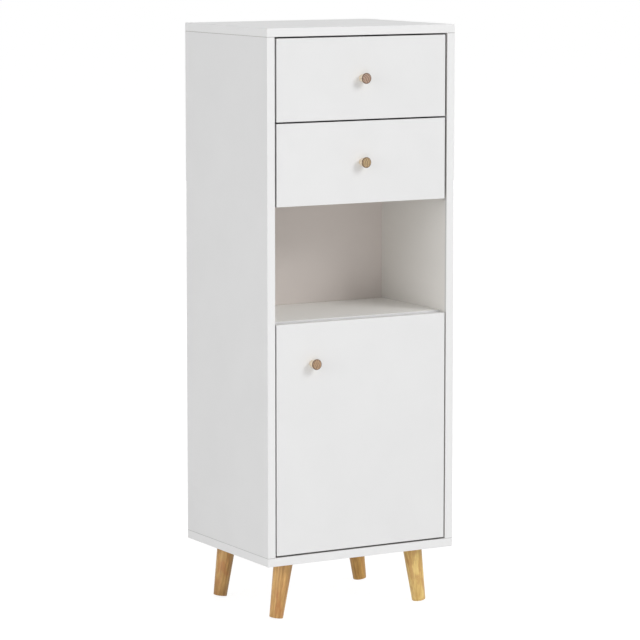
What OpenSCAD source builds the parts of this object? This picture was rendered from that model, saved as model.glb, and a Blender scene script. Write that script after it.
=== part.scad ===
// Highboard on four splayed wooden legs: two drawers above an open niche, and a cupboard with one door below.
// Millimetres. +Z is up, the fronts face -Y, and the origin is on the floor, mid bounding box.

/* [Body] */
// Width over the two side panels
cabinet_w = 400; // [360:5:500]
// Depth of the side panels
cabinet_d = 320; // [300:5:400]
// Height of the body, from its underside to its top
body_h = 990; // [940:10:1200]
// Thickness of the boards
board_t = 16; // [15:1:18]
// Thickness of the back panel
back_panel_t = 3; // [2.5:0.5:4]
// Depth of the grooves that hold the back panel
groove_depth = 6; // [4:0.5:8]
// Distance from the rear edges to the grooves
groove_inset = 8; // [6:1:12]
// Depth of the open niche, from the front edges to its back board
niche_depth = 236; // [200:4:250]

/* [Fronts] */
// How far the fronts lie behind the front edges of the body
front_recess = 1; // [0:0.5:4]
// Height of each drawer front
drawer_front_h = 151.5; // [145:0.5:170]
// Height of the door
door_h = 430; // [400:1:470]
// Gap above, below and between the fronts
row_gap = 3; // [1.5:0.5:4]
// Gap on each side of a drawer front
drawer_side_gap = 4; // [2:0.5:5]
// Gap on the opening side of the door
door_side_gap = 3; // [2:0.5:4]
// Gap on the hinge side of the door
hinge_side_gap = 2.5; // [2.5:0.5:4]
// How far the niche floor stands above the top edge of the door
floor_reveal = 3; // [1:1:7]
// How far the lower drawer front hangs below the niche ceiling
ceiling_reveal = 2; // [0:0.5:3]
// Space between the closed door and the fixed boards behind it
door_clearance = 5; // [4.5:0.5:8]

/* [Drawer boxes] */
// Length of a drawer box, front to back
drawer_len = 250; // [230:5:255]
// Height of the drawer sides
drawer_side_h = 100; // [80:5:110]
// Thickness of the drawer sides and back
drawer_side_t = 12; // [12:1:15]
// Thickness of the drawer bottom
drawer_bottom_t = 3; // [2.5:0.5:4]
// Height of the drawer bottom above the lower edge of the sides
drawer_bottom_lift = 10; // [10:1:15]
// Height of the drawer sides above the lower edge of the front
drawer_box_lift = 28; // [28:1:34]
// Space for a runner on each side of a drawer box
runner_space = 12.5; // [12.5:0.5:14]

/* [Runners] */
// Thickness of the runner steel
runner_t = 1.2; // [1:0.1:1.4]
// Radius of the rollers
roller_r = 8; // [7:0.5:9]
// Width of the rollers
roller_w = 5.5; // [4.5:0.5:6]
// Radius of the studs that the rollers turn on
stud_r = 2; // [1.5:0.25:2.5]
// Distance from the front of a cabinet runner to its roller
front_roller_inset = 12; // [10:1:16]
// Distance from the rear of a drawer runner to its roller
rear_roller_inset = 14; // [11:1:18]
// Width of the flange that carries the drawer side
runner_shelf_w = 11; // [8:1:12]

/* [Legs] */
// Height from the floor to the underside of the body
leg_h = 110; // [80:5:160]
// Angle at which the legs lean out sideways
leg_splay = 8.5; // [4:0.5:12]
// Radius of a leg at its top
leg_top_r = 18; // [15:0.5:22]
// Radius of a leg at its foot
leg_foot_r = 13; // [10:0.5:15]
// Distance from the outside of the body to the legs, sideways
leg_inset_x = 60; // [50:1:90]
// Distance from the front and rear edges to the legs
leg_inset_y = 49; // [40:1:80]
// Distance from the screws of a leg plate to its edges
leg_plate_margin = 6; // [5:0.5:10]
// Thickness of the leg plates
leg_plate_t = 2; // [1.5:0.5:2.5]
// Radius of the threaded boss of a leg plate
leg_boss_r = 14; // [10:0.5:15]

/* [Knobs] */
// Length of the knobs
knob_len = 17; // [14:1:24]
// Radius of a knob at its face
knob_face_r = 10; // [8:0.5:12]
// Radius of a knob where it meets the front
knob_base_r = 6.5; // [4.5:0.5:8]
// Rounding of the rim of a knob
knob_rim_r = 1.2; // [0.6:0.2:2]
// Distance from the free edge and from the top edge of the door to its knob
door_knob_inset = 76; // [40:1:100]

/* [Door hinges] */
// Distance from the ends of the door to the hinges
hinge_inset = 85; // [75:1:110]
// Radius of the hinge cup
cup_r = 17.5; // [16:0.5:18]
// Distance from the edge of the door to the cup
cup_edge = 4; // [3:0.5:4.5]
// Wall of the cup
cup_wall = 1; // [0.8:0.1:1.2]
// Distance from the edge of the door to the pin
pin_edge = 9; // [8.5:0.5:10]
// Distance from the face of the door to the pin
pin_setback = 6.5; // [6:0.5:7]
// Radius of the pin
pin_r = 1.2; // [1:0.1:1.3]
// Thickness of the hinge arm
arm_t = 2; // [1.5:0.25:2]
// Width of the hinge arm
arm_w = 10; // [8:1:12]

/* [Cupboard shelf] */
// Height of the shelf above the bottom panel
shelf_lift = 203; // [160:1:240]
// Space at the ends of the shelf
shelf_end_gap = 1; // [0.5:0.5:2]
// Distance from the front edges of the fixed boards to the edge of the shelf
shelf_setback = 8; // [0:1:30]
// Radius of the shelf pins
shelf_pin_r = 2.5; // [2:0.5:3]
// Spacing of the rows of holes for the shelf pins
pin_row_pitch = 32; // [25:1:40]

/* [Fittings] */
// Distance from the front and rear edges of the body to its cam fittings
fitting_inset = 60; // [50:1:70]
// Distance from a cam fitting to the dowel beside it
dowel_step = 32; // [25:1:40]
// Radius of the cams
cam_r = 7.5; // [6:0.5:7.5]
// Distance from the joint to the middle of the cam
cam_reach = 24; // [20:1:34]
// Length of the thread of a cam bolt
cam_thread_len = 11; // [9:0.5:11.5]
// Radius of the dowels
dowel_r = 4; // [3:0.5:4]
// Length of the dowel in the face of a board
dowel_face_len = 10; // [8:0.5:11]
// Length of the dowel in the end of a board
dowel_end_len = 18; // [15:1:22]

/* [Hidden] */
$fn = 48;

// Clearances
fit_gap = 0.1;        // around a fixed pin, bolt, dowel or cam in its hole, and around a panel in its groove
running_gap = 0.05;   // around a pin or stud that something turns on
free_gap = 0.3;       // between pieces that move past each other
over = 1;             // how far a cutter reaches past the surface that it opens

// Directions
LEFT = [-1, 0, 0];
RIGHT = [1, 0, 0];
FRONT = [0, -1, 0];
BACK = [0, 1, 0];
DOWN = [0, 0, -1];
UP = [0, 0, 1];
SIDES = [-1, 1];      // left and right, or front and back

// Widths
half_w = cabinet_w / 2;
inner_x = half_w - board_t;                 // inner faces of the side panels
door_left_x = door_side_gap - inner_x;
door_right_x = inner_x - hinge_side_gap;
drawer_front_x = inner_x - drawer_side_gap; // ends of the drawer fronts
box_x = inner_x - runner_space;             // outer faces of the drawer sides
box_in_x = box_x - drawer_side_t;           // inner faces of the drawer sides

// Depths
knob_reach = knob_len - front_recess;       // how far a knob stands proud of the body
front_y = (knob_reach - cabinet_d) / 2;     // front edges of the body
back_y = front_y + cabinet_d;
face_y = front_y + front_recess;            // faces of the fronts
rear_face_y = face_y + board_t;             // rear faces of the fronts
shelf_y = rear_face_y + door_clearance;     // front edges of the fixed boards
panel_y = back_y - groove_inset - back_panel_t;
board_end_y = panel_y - fit_gap;            // rear ends of the fixed boards
niche_back_y = front_y + niche_depth;
box_end_y = rear_face_y + drawer_len;

// Heights
base_z = leg_h;
bottom_top_z = base_z + board_t;
top_z = base_z + body_h;
top_under_z = top_z - board_t;
door_z = bottom_top_z + row_gap;
door_top_z = door_z + door_h;
niche_floor_z = door_top_z + floor_reveal;
upper_front_z = top_under_z - row_gap - drawer_front_h;
lower_front_z = upper_front_z - row_gap - drawer_front_h;
ceiling_z = lower_front_z + ceiling_reveal;
shelf_z = bottom_top_z + shelf_lift;
door_knob_z = door_top_z - door_knob_inset;
door_knob_x = door_left_x + door_knob_inset;

// Fittings of the boards
fitting_ys = [front_y + fitting_inset, back_y - fitting_inset];
dowel_ys = [fitting_ys[0] + dowel_step, fitting_ys[1] - dowel_step];
bolt_thread_r = 2.5;
bolt_shank_r = 3;
bolt_neck_r = 2;
bolt_neck_len = 3;
bolt_head_r = 3.2;
bolt_head_len = 3;
bolt_bore_r = 4;            // bore in the end of a board
cam_cavity_r = 3.5;         // hollow of a cam, around the head of its bolt
cam_floor = 0.5;            // thickness of a cam below that hollow
cam_slot_w = 1.4;           // cross slot for a screwdriver
cam_slot_len = 8;
cam_slot_depth = 1.5;
niche_back_dowel_inset = 40; // from the lower and upper edges of the niche's back board to its dowels

// Screws: [shank radius, shank length, head radius, head height]
leg_screw = [1.75, 14, 3.3, 1.6];
hinge_screw = [1.75, 13.5, 3.3, 1.6];
cup_screw = [1.5, 11, 3, 1.2];
runner_screw = [1.75, 12, 3.2, 1.2];
shelf_flange_screw = [1.5, 9, 2.8, 1.2];
box_screw = [1.75, 40, 3.2, 1.2];
knob_screw = [2, board_t + 11, 4, 2.2];

// Legs
leg_x = half_w - leg_inset_x;
leg_ys = [front_y + leg_inset_y, back_y - leg_inset_y];
leg_plate_gap = 0.8;                        // between the edge of the leaning leg and its plate
leg_boss_h = leg_plate_t + leg_top_r * sin(leg_splay) + leg_plate_gap;
leg_len = (base_z - leg_foot_r * sin(leg_splay)) / cos(leg_splay) - leg_boss_h;
leg_screw_space = 2.7;                      // between the leg and the heads of the screws round it
leg_screw_step = (leg_top_r + leg_screw[2] + leg_screw_space) / sqrt(2);
leg_plate_w = 2 * (leg_screw_step + leg_plate_margin);
leg_bolt_r = 4;
leg_bolt_wood_r = 3.5;
leg_bolt_wood_len = 45;
leg_bolt_top = 1.2;                         // from the underside of the body to the end of the bolt

// Runners, seen along a drawer: s runs from the side panel inward, z from the lower edge of the drawer box
roller_z = 2.5;                                     // axis of all rollers
roller_s = 4;                                       // nearest face of the rollers
rail_z = roller_z + roller_r + free_gap;            // underside of the rail that rides on the front roller
rail_overhang = 0.6;                                // how far that rail reaches past the rollers
rail_s = roller_s - rail_overhang;
lip_low_z = roller_z - roller_r - free_gap;         // upper face of the lower lip
lip_high_z = rail_z + runner_t + 2 * free_gap;      // lower face of the upper lip
lip_low_s = 10;
lip_high_s = 7;
stud_head_r = 3.2;
stud_head_len = 0.9;
stud_side_gap = 0.2;
runner_start = 4;                                   // from the rear face of a front to its cabinet runner
cabinet_runner_y = rear_face_y + runner_start;
cabinet_runner_end_y = cabinet_runner_y + drawer_len;
front_roller_y = cabinet_runner_y + front_roller_inset;
rear_roller_y = box_end_y - rear_roller_inset;
runner_screw_inset = 45;                            // from the ends of a runner to its screws
runner_screw_ys = [cabinet_runner_y + runner_screw_inset, cabinet_runner_end_y - runner_screw_inset];
shelf_flange_screw_ys = [rear_face_y + runner_screw_inset, box_end_y - runner_screw_inset];

// Drawer boxes
box_fitting_inset = 25;                             // from the drawer bottom and the upper edge to them
box_fitting_low_z = drawer_bottom_lift + drawer_bottom_t + box_fitting_inset;
box_fitting_zs = [box_fitting_low_z, drawer_side_h - box_fitting_inset];
groove_fit = 0.2;                                   // spare height of the groove of a drawer bottom
bottom_bite = 5.5;                                  // how far a drawer bottom enters its grooves
box_groove_depth = bottom_bite + free_gap;

// Hinges, seen from above: x and y run from the pin
pin_x = door_right_x - pin_edge;
pin_y = face_y + pin_setback;
hinge_zs = [door_z + hinge_inset, door_top_z - hinge_inset];
door_back = board_t - pin_setback;                  // rear face of the door
side_off = pin_edge + hinge_side_gap;               // inner face of the side panel
cup_x = pin_edge - cup_edge - cup_r;                // axis of the cup
eye_wall = 1;
eye_r = pin_r + eye_wall;                           // eye of the arm, around the pin
cup_floor = -eye_r - free_gap;                      // inner floor of the cup
cheek_t = 1.5;
cheek_start = arm_w / 2 + free_gap;
cup_flange_t = 1.2;
cup_flange_w = 14;
cup_flange_h = 56;
cup_rim = 1.5;                                      // how far the rim of the cup reaches over its bore
cheek_margin = 1;                                   // how far the cheeks reach past the eye of the arm
cup_screw_step = 5;                                 // from the axis of the cup to its screws
cup_screw_x = cup_x - cup_screw_step;
cup_screw_z = 24;
plate_t = 1.5;
plate_h = 44;
swing_room = 14.5;                                  // behind the door, for its corner as it swings
plate_start = door_back + swing_room;
plate_len = 42;
plate_screw_z = 16;
plate_screw_y = plate_start + plate_len / 2;
pedestal_h = 4;
pedestal_w = 10;
pedestal_inset = 4;
arm_x = side_off - plate_t - pedestal_h - arm_t / 2;
arm_low_y = cup_floor + free_gap + arm_t / 2;
neck_inset = 9.5;                                   // from the wall of the cup to the neck of the arm
neck_x = cup_x - cup_r + neck_inset;
neck_lean = 4;                                      // how far the arm leans before its neck
neck_start = door_back - 0.5;
neck_len = 8;
arm_bend = 1.5;                                     // from the front of the plate to the last bend of the arm
arm_path = [
    [-pin_r / 2, arm_low_y],
    [neck_x + neck_lean, arm_low_y],
    [neck_x, neck_start],
    [neck_x, neck_start + neck_len],
    [arm_x, plate_start + arm_bend],
    [arm_x, plate_start + plate_len - pedestal_inset]
];

// Small cupboard pieces
buffer_r = 4;
buffer_steps = [30, 90];                            // from the free edge of the door to the buffers
buffer_z = (door_top_z + niche_floor_z - board_t) / 2;
shelf_pin_bite = 8;
shelf_pin_out = 8;
shelf_pin_inset = 50;
shelf_pin_z = shelf_z - shelf_pin_r - fit_gap;
shelf_pin_ys = [shelf_y + shelf_setback + shelf_pin_inset, board_end_y - shelf_pin_inset];

white = [0.93, 0.93, 0.92];
oak = [0.8, 0.6, 0.38];
beech = [0.82, 0.68, 0.5];
steel = [0.75, 0.76, 0.78];
zinc = [0.66, 0.67, 0.7];
nylon = [0.9, 0.9, 0.88];
hardboard = [0.95, 0.95, 0.93];

// Joints between boards: [x, z, direction into the board that holds the cam, side on which its cams open]
function top_joint(side) = [side * (half_w - board_t / 2), top_under_z, DOWN, [-side, 0, 0]];
function bottom_joint(side) = [side * (half_w - board_t / 2), bottom_top_z, UP, [-side, 0, 0]];
function ceiling_joint(side) = [side * inner_x, ceiling_z + board_t / 2, [-side, 0, 0], DOWN];
function floor_joint(side) = [side * inner_x, niche_floor_z - board_t / 2, [-side, 0, 0], DOWN];
function side_joints(side) = [top_joint(side), bottom_joint(side), ceiling_joint(side), floor_joint(side)];
body_joints = concat(side_joints(-1), side_joints(1));

// Dowels of the niche's back board: [point, direction into the board]
function niche_back_dowels(side) = [
    for (z = [niche_floor_z + niche_back_dowel_inset, ceiling_z - niche_back_dowel_inset])
        [[side * inner_x, niche_back_y + board_t / 2, z], [-side, 0, 0]]
];

// A polygon of even thickness along a path, with mitred corners
function turned(v) = [-v.y, v.x];
function unit(v) = v / norm(v);
function path_normal(p, i) = turned(unit(p[i + 1] - p[i]));
function corner(p, i, half) =
    let (a = path_normal(p, max(i - 1, 0)), b = path_normal(p, min(i, len(p) - 2)), m = unit(a + b))
    p[i] + m * half / (m * a);
function strip(p, t) = concat(
    [for (i = [0 : len(p) - 1]) corner(p, i, t / 2)],
    [for (i = [len(p) - 1 : -1 : 0]) corner(p, i, -t / 2)]
);

// Helpers
module box(low, high) {
    translate(low) cube(high - low);
}

// Moves the local z axis to one direction and the local x axis to another
module place(point, axis, x_axis) {
    y_axis = cross(axis, x_axis);
    multmatrix([
        [x_axis.x, y_axis.x, axis.x, point.x],
        [x_axis.y, y_axis.y, axis.y, point.y],
        [x_axis.z, y_axis.z, axis.z, point.z],
        [0, 0, 0, 1]
    ]) children();
}

function any_normal(axis) = abs(axis.z) > 0.5 ? RIGHT : UP;

module aim(point, axis) {
    place(point, axis, any_normal(axis)) children();
}

// A cylinder between two distances along the local z axis
module rod(r, from, to) {
    translate([0, 0, from]) cylinder(r = r, h = to - from);
}

// A pan-head screw that points along the local z axis, with its head below the origin
module screw(size) {
    rod(size[0], -size[3] / 2, size[1]);
    rod(size[2], -size[3], 0);
}

module screw_hole(size, from = -over) {
    rod(size[0] + fit_gap, from, size[1] + fit_gap);
}

// Cam fittings, with the joint at the local origin and the board that holds the cam above it
function cam_depth(t) = t / 2 + cam_cavity_r + cam_floor;

module cam_bolt() {
    color(zinc) {
        rod(bolt_thread_r, -cam_thread_len, over);
        rod(bolt_shank_r, 0, cam_reach - bolt_neck_len - bolt_head_len / 2);
        rod(bolt_neck_r, 0, cam_reach);
        rod(bolt_head_r, cam_reach - bolt_head_len / 2, cam_reach + bolt_head_len / 2);
    }
}

module cam_lock(t) {
    color(zinc) difference() {
        aim([t / 2, 0, cam_reach], LEFT) rod(cam_r, 0, cam_depth(t));
        rod(cam_cavity_r, 0, cam_reach + bolt_head_len / 2 + free_gap);
        for (size = [[cam_slot_len, cam_slot_w], [cam_slot_w, cam_slot_len]])
            translate([t / 2 - cam_slot_depth, -size[0] / 2, cam_reach - size[1] / 2])
                cube([cam_slot_depth + over, size[0], size[1]]);
    }
}

module cam_holes(t) {
    rod(bolt_thread_r + fit_gap, -cam_thread_len - fit_gap, over);
    rod(bolt_bore_r, -fit_gap / 2, cam_reach);
    aim([t / 2 + over, 0, cam_reach], LEFT) rod(cam_r + fit_gap, 0, cam_depth(t) + over + fit_gap);
}

module dowel() {
    rod(dowel_r, -dowel_face_len, dowel_end_len);
}

module dowel_hole() {
    rod(dowel_r + fit_gap, -dowel_face_len - fit_gap, dowel_end_len + fit_gap);
}

module joint_holes(joint) {
    for (y = fitting_ys)
        place([joint[0], y, joint[1]], joint[2], joint[3]) cam_holes(board_t);
    for (y = dowel_ys)
        place([joint[0], y, joint[1]], joint[2], joint[3]) dowel_hole();
}

// Body
module back_groove() {
    box([-inner_x - groove_depth, panel_y - fit_gap, bottom_top_z - groove_depth],
        [inner_x + groove_depth, panel_y + back_panel_t + fit_gap, top_under_z + groove_depth]);
}

module cap_board(z, joints) {
    color(white) difference() {
        box([-half_w, front_y, z], [half_w, back_y, z + board_t]);
        back_groove();
        for (joint = joints) joint_holes(joint);
        children();
    }
}

module top_panel() {
    cap_board(top_under_z, [top_joint(-1), top_joint(1)]);
}

module bottom_panel() {
    cap_board(base_z, [bottom_joint(-1), bottom_joint(1)])
        at_leg_plates() leg_screw_places() screw_hole(leg_screw);
}

module side_panel(side) {
    inner = side * inner_x;
    outer = side * half_w;
    color(white) difference() {
        box([min(inner, outer), front_y, bottom_top_z], [max(inner, outer), back_y, top_under_z]);
        back_groove();
        for (joint = side_joints(side)) joint_holes(joint);
        for (d = niche_back_dowels(side)) aim(d[0], d[1]) dowel_hole();
        for (y = shelf_pin_ys, row = [-1 : 1])
            aim([inner, y, shelf_pin_z + row * pin_row_pitch], [side, 0, 0])
                rod(shelf_pin_r + fit_gap, -over, shelf_pin_bite + fit_gap);
        for (z = [lower_front_z, upper_front_z]) runner_screw_places(z, side) screw_hole(runner_screw);
        if (side > 0) hinge_plate_screw_places() screw_hole(hinge_screw);
    }
}

module left_side_panel() { side_panel(-1); }
module right_side_panel() { side_panel(1); }

module fixed_board(z, joints) {
    color(white) difference() {
        box([-inner_x, shelf_y, z], [inner_x, board_end_y, z + board_t]);
        for (joint = joints) joint_holes(joint);
    }
}

module niche_ceiling() {
    fixed_board(ceiling_z, [ceiling_joint(-1), ceiling_joint(1)]);
}

module niche_floor() {
    fixed_board(niche_floor_z - board_t, [floor_joint(-1), floor_joint(1)]);
}

module niche_back() {
    color(white) difference() {
        box([-inner_x, niche_back_y, niche_floor_z], [inner_x, niche_back_y + board_t, ceiling_z]);
        for (side = SIDES, d = niche_back_dowels(side)) aim(d[0], d[1]) dowel_hole();
    }
}

module back_panel() {
    bite = groove_depth - fit_gap;
    color(hardboard)
        box([-inner_x - bite, panel_y, bottom_top_z - bite],
            [inner_x + bite, panel_y + back_panel_t, top_under_z + bite]);
}

module cupboard_shelf() {
    color(white)
        box([shelf_end_gap - inner_x, shelf_y + shelf_setback, shelf_z],
            [inner_x - shelf_end_gap, board_end_y, shelf_z + board_t]);
}

module shelf_pins() {
    color(steel) for (side = SIDES, y = shelf_pin_ys)
        aim([side * inner_x, y, shelf_pin_z], [-side, 0, 0])
            rod(shelf_pin_r, -shelf_pin_bite, shelf_pin_out);
}

module cam_locks() {
    for (joint = body_joints, y = fitting_ys)
        place([joint[0], y, joint[1]], joint[2], joint[3]) cam_lock(board_t);
}

module cam_bolts() {
    for (joint = body_joints, y = fitting_ys)
        place([joint[0], y, joint[1]], joint[2], joint[3]) cam_bolt();
}

module wood_dowels() {
    color(beech) {
        for (joint = body_joints, y = dowel_ys) place([joint[0], y, joint[1]], joint[2], joint[3]) dowel();
        for (side = SIDES, d = niche_back_dowels(side)) aim(d[0], d[1]) dowel();
    }
}

// Legs
module at_leg(x_side, y) {
    translate([x_side * leg_x, y, base_z]) children();
}

// The local -z axis runs down the middle of the leg
module lean(x_side) {
    rotate([0, -x_side * leg_splay, 0]) children();
}

module at_leg_plates() {
    for (x_side = SIDES, y = leg_ys) at_leg(x_side, y) children();
}

// From below, at the underside of a leg plate
module leg_screw_places() {
    for (x = SIDES, y = SIDES)
        translate([x * leg_screw_step, y * leg_screw_step, -leg_plate_t]) children();
}

module leg(x_side, y) {
    color(oak) at_leg(x_side, y) lean(x_side) difference() {
        translate([0, 0, -leg_boss_h - leg_len]) cylinder(h = leg_len, r1 = leg_foot_r, r2 = leg_top_r);
        rod(leg_bolt_wood_r + fit_gap, -leg_boss_h - leg_bolt_wood_len - fit_gap, over - leg_boss_h);
    }
}

module front_left_leg() { leg(-1, leg_ys[0]); }
module front_right_leg() { leg(1, leg_ys[0]); }
module back_left_leg() { leg(-1, leg_ys[1]); }
module back_right_leg() { leg(1, leg_ys[1]); }

module leg_plates() {
    half = leg_plate_w / 2;
    color(steel) for (x_side = SIDES, y = leg_ys) at_leg(x_side, y) difference() {
        union() {
            box([-half, -half, -leg_plate_t], [half, half, 0]);
            intersection() {
                lean(x_side) rod(leg_boss_r, -leg_boss_h, leg_boss_h);
                box([-half, -half, -2 * leg_boss_h], [half, half, 0]);
            }
        }
        lean(x_side) rod(leg_bolt_r + fit_gap, -2 * leg_boss_h, leg_boss_h);
        leg_screw_places() screw_hole(leg_screw);
    }
}

module leg_bolts() {
    color(zinc) for (x_side = SIDES, y = leg_ys) at_leg(x_side, y) lean(x_side) {
        rod(leg_bolt_r, -leg_boss_h, -leg_bolt_top);
        rod(leg_bolt_wood_r, -leg_boss_h - leg_bolt_wood_len, -leg_bolt_top);
    }
}

module leg_plate_screws() {
    color(zinc) at_leg_plates() leg_screw_places() screw(leg_screw);
}

// Runners. In their modules x is s, and z starts at the lower edge of the drawer box
module at_runner(front_z, side) {
    translate([side * inner_x, 0, front_z + drawer_box_lift]) mirror([side > 0 ? 1 : 0, 0, 0]) children();
}

module runner_screw_places(front_z, side) {
    at_runner(front_z, side) for (y = runner_screw_ys) aim([runner_t, y, roller_z], LEFT) children();
}

module cabinet_runner() {
    low_z = lip_low_z - runner_t;
    high_z = lip_high_z + runner_t;
    difference() {
        union() {
            box([0, cabinet_runner_y, low_z], [runner_t, cabinet_runner_end_y, high_z]);
            box([0, cabinet_runner_y, low_z], [lip_low_s, cabinet_runner_end_y, lip_low_z]);
            box([0, cabinet_runner_y, lip_high_z], [lip_high_s, cabinet_runner_end_y, high_z]);
        }
        for (y = runner_screw_ys) aim([runner_t, y, roller_z], LEFT) screw_hole(runner_screw);
    }
    head_s = roller_s + roller_w + stud_side_gap;
    aim([0, front_roller_y, roller_z], RIGHT) {
        rod(stud_r, runner_t / 2, head_s + stud_head_len);
        rod(stud_head_r, head_s, head_s + stud_head_len);
        rod(stud_head_r, runner_t / 2, roller_s - stud_side_gap);
    }
}

module cabinet_runners() {
    color(steel) for (z = [lower_front_z, upper_front_z], side = SIDES) at_runner(z, side) cabinet_runner();
}

module runner_screws() {
    color(zinc) for (z = [lower_front_z, upper_front_z], side = SIDES)
        runner_screw_places(z, side) screw(runner_screw);
}

// From below, at the underside of the flange that carries a drawer side
module shelf_flange_screw_places() {
    for (y = shelf_flange_screw_ys)
        translate([runner_space + drawer_side_t / 2, y, -runner_t]) children();
}

module drawer_runner() {
    low_y = rear_face_y + free_gap;
    web_s = runner_space - runner_t;
    difference() {
        union() {
            box([web_s, low_y, -runner_t], [runner_space, box_end_y, rail_z + runner_t]);
            box([web_s, low_y, -runner_t], [runner_space + runner_shelf_w, box_end_y, 0]);
            box([rail_s, low_y, rail_z], [runner_space, box_end_y, rail_z + runner_t]);
        }
        shelf_flange_screw_places() screw_hole(shelf_flange_screw);
    }
    head_s = roller_s - stud_side_gap;
    aim([0, rear_roller_y, roller_z], RIGHT) {
        rod(stud_r, head_s - stud_head_len, web_s + runner_t / 2);
        rod(stud_head_r, head_s - stud_head_len, head_s);
        rod(stud_head_r, roller_s + roller_w + stud_side_gap, web_s + runner_t / 2);
    }
}

module drawer_runners(front_z) {
    color(steel) for (side = SIDES) at_runner(front_z, side) drawer_runner();
}

module upper_drawer_runners() { drawer_runners(upper_front_z); }
module lower_drawer_runners() { drawer_runners(lower_front_z); }

module rollers(front_z, y) {
    color(nylon) for (side = SIDES) at_runner(front_z, side) aim([0, y, roller_z], RIGHT) difference() {
        rod(roller_r, roller_s, roller_s + roller_w);
        rod(stud_r + running_gap, roller_s - over, roller_s + roller_w + over);
    }
}

module upper_front_rollers() { rollers(upper_front_z, front_roller_y); }
module upper_rear_rollers() { rollers(upper_front_z, rear_roller_y); }
module lower_front_rollers() { rollers(lower_front_z, front_roller_y); }
module lower_rear_rollers() { rollers(lower_front_z, rear_roller_y); }

// Knobs
module knob_profile() {
    difference() {
        union() {
            polygon([
                [0, 0],
                [knob_base_r, 0],
                [knob_face_r, knob_len - knob_rim_r],
                [knob_face_r - knob_rim_r, knob_len],
                [0, knob_len]
            ]);
            translate([knob_face_r - knob_rim_r, knob_len - knob_rim_r]) circle(r = knob_rim_r);
        }
        translate([-knob_face_r, 0]) square([knob_face_r, knob_len]);
    }
}

module knob(x, z) {
    color(beech) aim([x, face_y, z], FRONT) difference() {
        rotate_extrude() knob_profile();
        rod(knob_screw[0] + fit_gap, -over, knob_screw[1] - board_t + fit_gap);
    }
}

module knob_hole(x, z) {
    aim([x, rear_face_y, z], FRONT) screw_hole(knob_screw);
}

module fitted_knob_screw(x, z) {
    color(zinc) aim([x, rear_face_y, z], FRONT) screw(knob_screw);
}

// Drawers
function drawer_knob_z(front_z) = front_z + drawer_front_h / 2;

module drawer_cam_places(front_z) {
    for (side = SIDES, z = box_fitting_zs) {
        point = [side * (box_x - drawer_side_t / 2), rear_face_y, front_z + drawer_box_lift + z];
        place(point, BACK, [-side, 0, 0]) children();
    }
}

module box_screw_places(front_z) {
    for (side = SIDES, z = box_fitting_zs)
        aim([side * box_x, box_end_y - drawer_side_t / 2, front_z + drawer_box_lift + z], [-side, 0, 0])
            children();
}

// The groove of a drawer bottom, in the sides and in the front
module bottom_groove(front_z) {
    z = front_z + drawer_box_lift + drawer_bottom_lift;
    box([-box_in_x - box_groove_depth, rear_face_y - box_groove_depth, z],
        [box_in_x + box_groove_depth, box_end_y + over, z + drawer_bottom_t + groove_fit]);
}

module drawer_front(front_z) {
    color(white) difference() {
        box([-drawer_front_x, face_y, front_z], [drawer_front_x, rear_face_y, front_z + drawer_front_h]);
        bottom_groove(front_z);
        drawer_cam_places(front_z) cam_holes(drawer_side_t);
        knob_hole(0, drawer_knob_z(front_z));
    }
}

module drawer_side(front_z, side) {
    z = front_z + drawer_box_lift;
    inner = side * box_in_x;
    outer = side * box_x;
    color(white) difference() {
        box([min(inner, outer), rear_face_y, z], [max(inner, outer), box_end_y, z + drawer_side_h]);
        bottom_groove(front_z);
        drawer_cam_places(front_z) cam_holes(drawer_side_t);
        box_screw_places(front_z) {
            screw_hole(box_screw);
            rod(box_screw[2] + fit_gap, -over, box_screw[3]);
        }
        at_runner(front_z, side) shelf_flange_screw_places() screw_hole(shelf_flange_screw);
    }
}

module drawer_back(front_z) {
    z = front_z + drawer_box_lift;
    low_z = z + drawer_bottom_lift + drawer_bottom_t + groove_fit;
    color(white) difference() {
        box([-box_in_x, box_end_y - drawer_side_t, low_z], [box_in_x, box_end_y, z + drawer_side_h]);
        box_screw_places(front_z) translate([0, 0, box_screw[3]]) screw_hole(box_screw);
    }
}

module drawer_bottom(front_z) {
    z = front_z + drawer_box_lift + drawer_bottom_lift;
    color(hardboard)
        box([-box_in_x - bottom_bite, rear_face_y - bottom_bite, z],
            [box_in_x + bottom_bite, box_end_y, z + drawer_bottom_t]);
}

module drawer_cams(front_z) {
    drawer_cam_places(front_z) cam_lock(drawer_side_t);
}

module drawer_bolts(front_z) {
    drawer_cam_places(front_z) cam_bolt();
}

module drawer_screws(front_z) {
    color(zinc) {
        box_screw_places(front_z) translate([0, 0, box_screw[3]]) screw(box_screw);
        for (side = SIDES) at_runner(front_z, side) shelf_flange_screw_places() screw(shelf_flange_screw);
    }
}

module upper_drawer_front() { drawer_front(upper_front_z); }
module upper_drawer_left_side() { drawer_side(upper_front_z, -1); }
module upper_drawer_right_side() { drawer_side(upper_front_z, 1); }
module upper_drawer_back() { drawer_back(upper_front_z); }
module upper_drawer_bottom() { drawer_bottom(upper_front_z); }
module upper_drawer_knob() { knob(0, drawer_knob_z(upper_front_z)); }
module upper_drawer_knob_screw() { fitted_knob_screw(0, drawer_knob_z(upper_front_z)); }
module upper_drawer_cams() { drawer_cams(upper_front_z); }
module upper_drawer_bolts() { drawer_bolts(upper_front_z); }
module upper_drawer_screws() { drawer_screws(upper_front_z); }
module lower_drawer_front() { drawer_front(lower_front_z); }
module lower_drawer_left_side() { drawer_side(lower_front_z, -1); }
module lower_drawer_right_side() { drawer_side(lower_front_z, 1); }
module lower_drawer_back() { drawer_back(lower_front_z); }
module lower_drawer_bottom() { drawer_bottom(lower_front_z); }
module lower_drawer_knob() { knob(0, drawer_knob_z(lower_front_z)); }
module lower_drawer_knob_screw() { fitted_knob_screw(0, drawer_knob_z(lower_front_z)); }
module lower_drawer_cams() { drawer_cams(lower_front_z); }
module lower_drawer_bolts() { drawer_bolts(lower_front_z); }
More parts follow.
